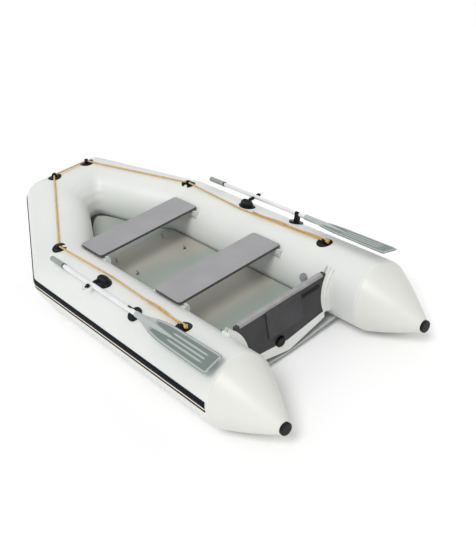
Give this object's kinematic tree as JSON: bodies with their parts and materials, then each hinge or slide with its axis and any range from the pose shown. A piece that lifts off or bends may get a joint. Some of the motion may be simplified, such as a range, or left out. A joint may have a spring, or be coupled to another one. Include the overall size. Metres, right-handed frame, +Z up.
{
  "type": "inflatable dinghy",
  "caption": "Rowing and outboard tender with inflated side and bow tubes, air deck, plank seats, rigid transom, grab line and stowed oars.",
  "frame": {"origin": "on the ground, under the middle of the boat's overall box", "axes": "+X to the bow, +Y to port, +Z up"},
  "size_m": [3.0315, 1.5086, 0.6257],
  "materials": {
    "tube_fabric": "satin",
    "baffle_fabric": "satin",
    "strake_rubber": "satin",
    "black_rubber": "satin",
    "bottom_fabric": "satin",
    "deck_fabric": "satin",
    "transom_wood": "satin",
    "pale_rubber": "satin",
    "grey_edging": "satin",
    "pad_plastic": "satin",
    "black_plastic": "satin",
    "seat_wood": "satin",
    "rail_aluminium": "satin",
    "holder_rubber": "satin",
    "valve_plastic": "satin",
    "line_fibre": "matte",
    "ring_steel": "satin",
    "oar_aluminium": "satin",
    "oar_plastic": "satin",
    "collar_plastic": "satin"
  },
  "bodies": {
    "hull": {"air_deck": "deck_fabric", "bottom_skin": "bottom_fabric", "bow_tube_front": "tube_fabric", "bow_tube_port": "tube_fabric", "bow_tube_starboard": "tube_fabric", "chamber_baffle": "baffle_fabric", "clamp_plate": "pad_plastic", "deck_valve_body": "valve_plastic", "drain_body": "black_plastic", "grab_line": "line_fibre", "keel_tube": "baffle_fabric", "label_plate": "black_plastic", "lashing_eyes": "ring_steel", "line_guides": "black_rubber", "line_knots": "line_fibre", "motor_pad": "pad_plastic", "oar_clips": "black_rubber", "rowlock_pad_port": "black_rubber", "rowlock_pad_starboard": "black_rubber", "seat_holders_aft": "holder_rubber", "seat_holders_fore": "holder_rubber", "side_tube_port": "tube_fabric", "side_tube_starboard": "tube_fabric", "stern_cone_port": "tube_fabric", "stern_cone_starboard": "tube_fabric", "stern_end_caps": "black_rubber", "strake_front": "strake_rubber", "strake_port": "strake_rubber", "strake_starboard": "strake_rubber", "transom_board": "transom_wood", "transom_bottom_flap": "bottom_fabric", "transom_holder_port": "pale_rubber", "transom_holder_starboard": "pale_rubber", "transom_top_edging": "grey_edging", "valve_body_port": "valve_plastic", "valve_body_starboard": "valve_plastic"},
    "rowlock_port": {"rowlock_block_port": "black_rubber", "rowlock_pin_port": "black_plastic", "pin_ring_port": "ring_steel"},
    "oar_port": {"oar_shaft_port": "oar_aluminium", "oar_grip_port": "oar_plastic", "oar_collar_port": "collar_plastic", "oar_blade_port": "oar_plastic"},
    "cap_port": {"valve_cap_port": "valve_plastic"},
    "poppet_port": {"valve_poppet_port": "valve_plastic"},
    "rowlock_starboard": {"rowlock_block_starboard": "black_rubber", "rowlock_pin_starboard": "black_plastic", "pin_ring_starboard": "ring_steel"},
    "oar_starboard": {"oar_shaft_starboard": "oar_aluminium", "oar_grip_starboard": "oar_plastic", "oar_collar_starboard": "collar_plastic", "oar_blade_starboard": "oar_plastic"},
    "cap_starboard": {"valve_cap_starboard": "valve_plastic"},
    "poppet_starboard": {"valve_poppet_starboard": "valve_plastic"},
    "seat_fore": {"seat_board_fore": "seat_wood", "seat_rails_fore": "rail_aluminium"},
    "seat_aft": {"seat_board_aft": "seat_wood", "seat_rails_aft": "rail_aluminium"},
    "deck_cap": {"deck_valve_cap": "valve_plastic"},
    "drain_flap": {"drain_flap": "black_plastic"}
  },
  "joints": [
    {"name": "rowlock_swing_port", "type": "hinge", "parent": "hull", "child": "rowlock_port", "pos_m": [0, 0.57, 0.45], "axis": [0, 0, -1], "range_deg": [0, 120]},
    {"name": "oar_dip_port", "type": "hinge", "parent": "rowlock_port", "child": "oar_port", "pos_m": [0, 0.65, 0.46], "axis": [0, -1, 0], "range_deg": [0, 15]},
    {"name": "valve_cap_turn_port", "type": "hinge", "parent": "hull", "child": "cap_port", "pos_m": [-0.768, 0.332, 0.28921], "axis": [0, -0.9397, 0.342], "range_deg": [0, 90]},
    {"name": "valve_poppet_push_port", "type": "slide", "parent": "hull", "child": "poppet_port", "axis": [0, 0.9397, -0.342], "range_m": [0, 0.005], "stiffness_N_per_m": 400, "springref_m": -0.002},
    {"name": "rowlock_swing_starboard", "type": "hinge", "parent": "hull", "child": "rowlock_starboard", "pos_m": [0, -0.57, 0.45], "axis": [0, 0, 1], "range_deg": [0, 120]},
    {"name": "oar_dip_starboard", "type": "hinge", "parent": "rowlock_starboard", "child": "oar_starboard", "pos_m": [0, -0.65, 0.46], "axis": [0, -1, 0], "range_deg": [0, 15]},
    {"name": "valve_cap_turn_starboard", "type": "hinge", "parent": "hull", "child": "cap_starboard", "pos_m": [-0.768, -0.332, 0.28921], "axis": [0, 0.9397, 0.342], "range_deg": [0, 90]},
    {"name": "valve_poppet_push_starboard", "type": "slide", "parent": "hull", "child": "poppet_starboard", "axis": [0, -0.9397, -0.342], "range_m": [0, 0.005], "stiffness_N_per_m": 400, "springref_m": -0.002},
    {"name": "deck_cap_turn", "type": "hinge", "parent": "hull", "child": "deck_cap", "pos_m": [-0.13, -0.09, 0.18], "axis": [0, 0, 1], "range_deg": [0, 90]},
    {"name": "seat_slide_fore", "type": "slide", "parent": "hull", "child": "seat_fore", "axis": [1, 0, 0], "range_m": [-0.025, 0]},
    {"name": "seat_slide_aft", "type": "slide", "parent": "hull", "child": "seat_aft", "axis": [1, 0, 0], "range_m": [-0.025, 0.025]},
    {"name": "drain_flap_swing", "type": "hinge", "parent": "hull", "child": "drain_flap", "pos_m": [-0.964, 0.056, 0.162], "axis": [0, 1, 0], "range_deg": [0, 75]}
  ],
  "couplings": [
    {"joint": "oar_dip_port", "follows": "rowlock_swing_port", "ratio": 0.12},
    {"joint": "oar_dip_starboard", "follows": "rowlock_swing_starboard", "ratio": 0.12}
  ]
}
